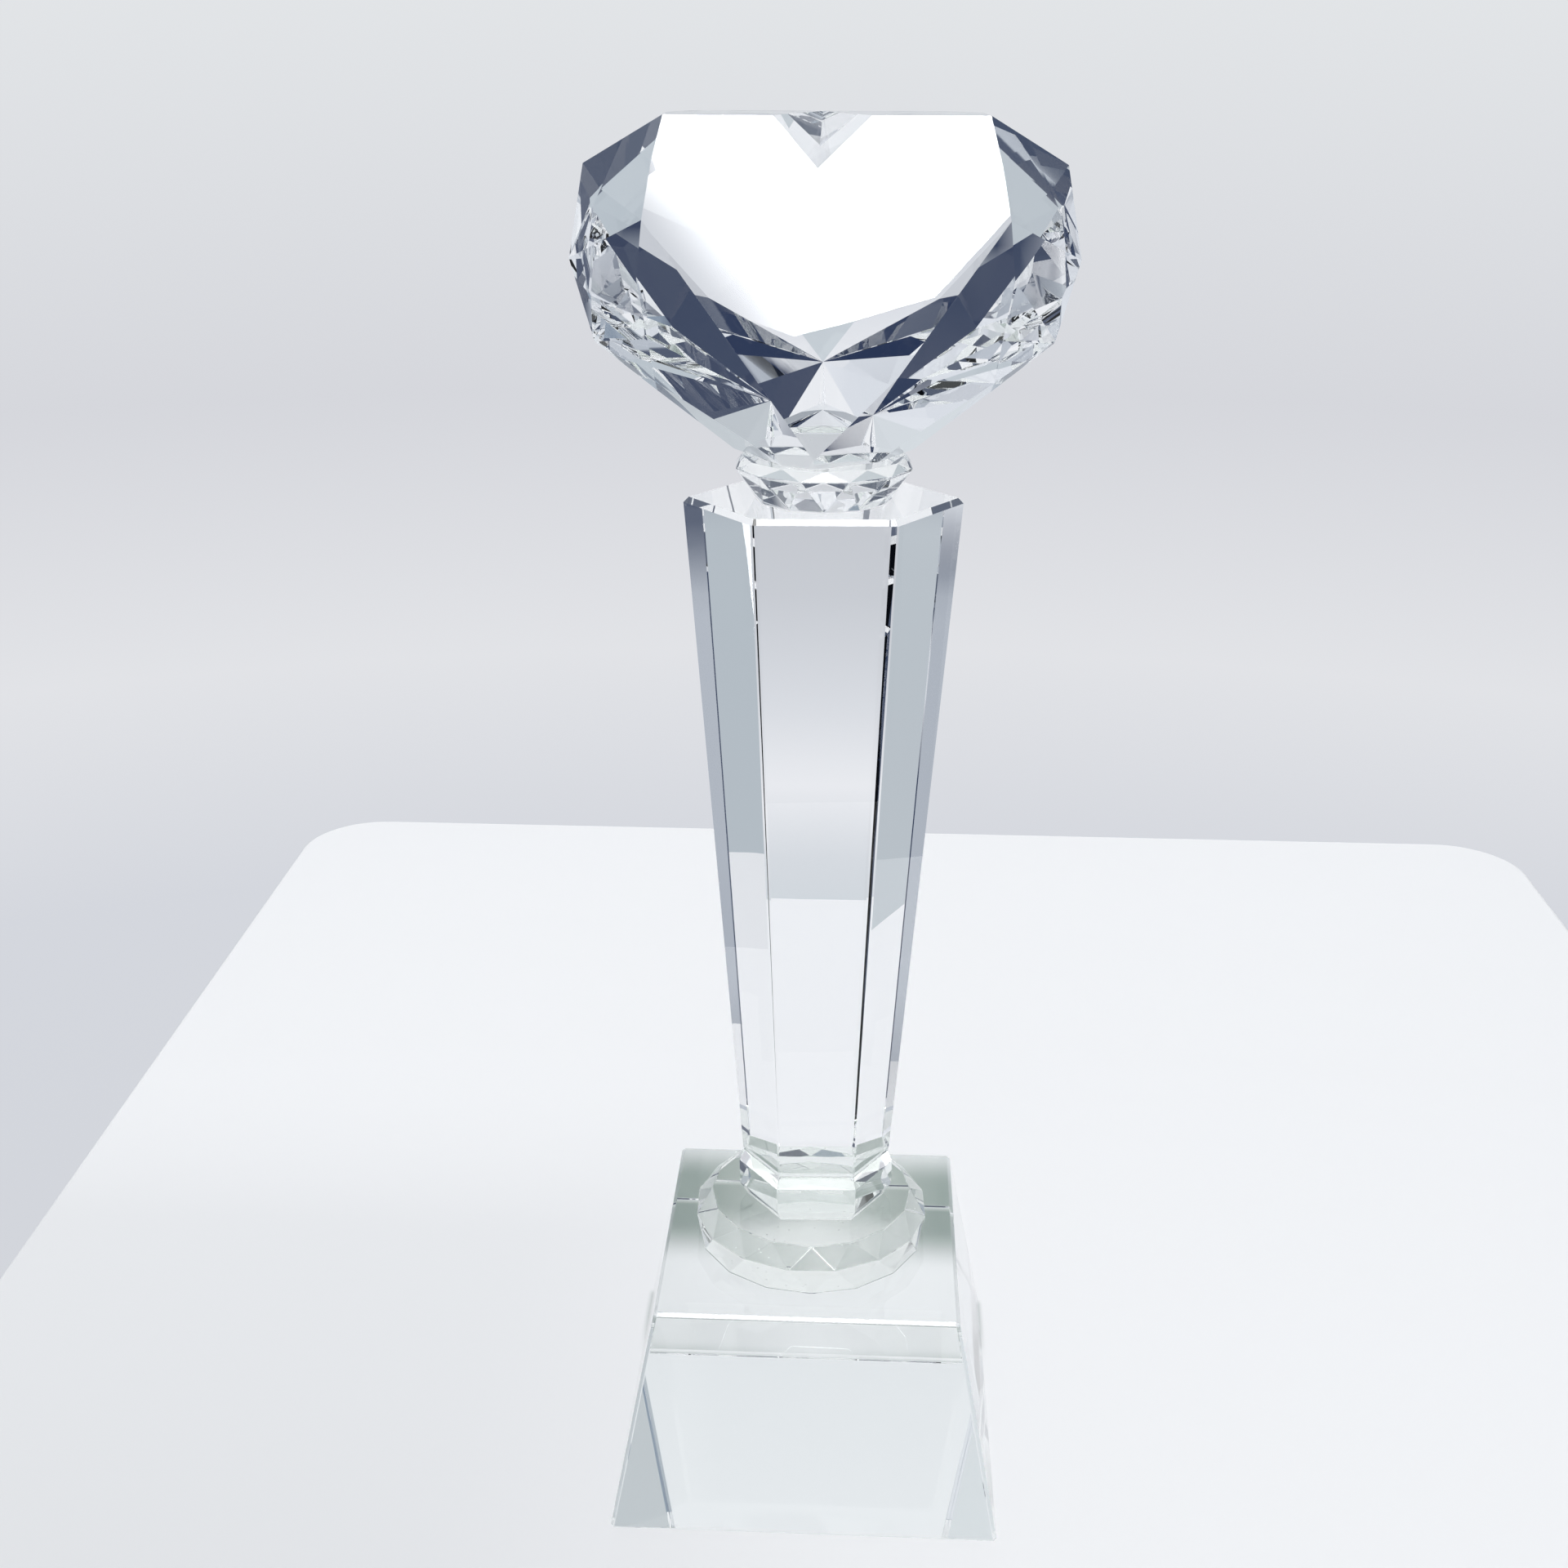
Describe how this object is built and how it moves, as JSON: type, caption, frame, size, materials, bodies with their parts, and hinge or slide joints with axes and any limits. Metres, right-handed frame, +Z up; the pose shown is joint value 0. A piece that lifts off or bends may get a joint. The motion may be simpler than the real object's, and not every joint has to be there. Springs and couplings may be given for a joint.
{
  "type": "crystal award",
  "caption": "Clear crystal award: a tapered square base, a faceted disc, a hexagonal column that widens upwards and a leaning heart-cut gem on top.",
  "frame": {"origin": "centre of the base block's underside, on the surface the award stands on", "axes": "+Z up along the column, -Y towards the front, which the gem's table faces, +X to the right as seen from the front"},
  "size_m": [0.0947, 0.0831, 0.2748],
  "materials": {
    "base_crystal": "polished",
    "green_tinted_crystal": "polished",
    "column_crystal": "polished",
    "collar_crystal": "polished",
    "gem_crystal": "polished",
    "clear_adhesive": "clear cured adhesive"
  },
  "bodies": {
    "root": {"base_block": "base_crystal", "faceted_disc": "green_tinted_crystal", "plinth": "green_tinted_crystal", "column": "column_crystal", "collar": "collar_crystal", "heart_gem": "gem_crystal", "base_bond_film": "clear_adhesive", "disc_bond_film": "clear_adhesive", "plinth_bond_film": "clear_adhesive", "column_bond_film": "clear_adhesive", "gem_bond_film": "clear_adhesive"}
  },
  "joints": []
}
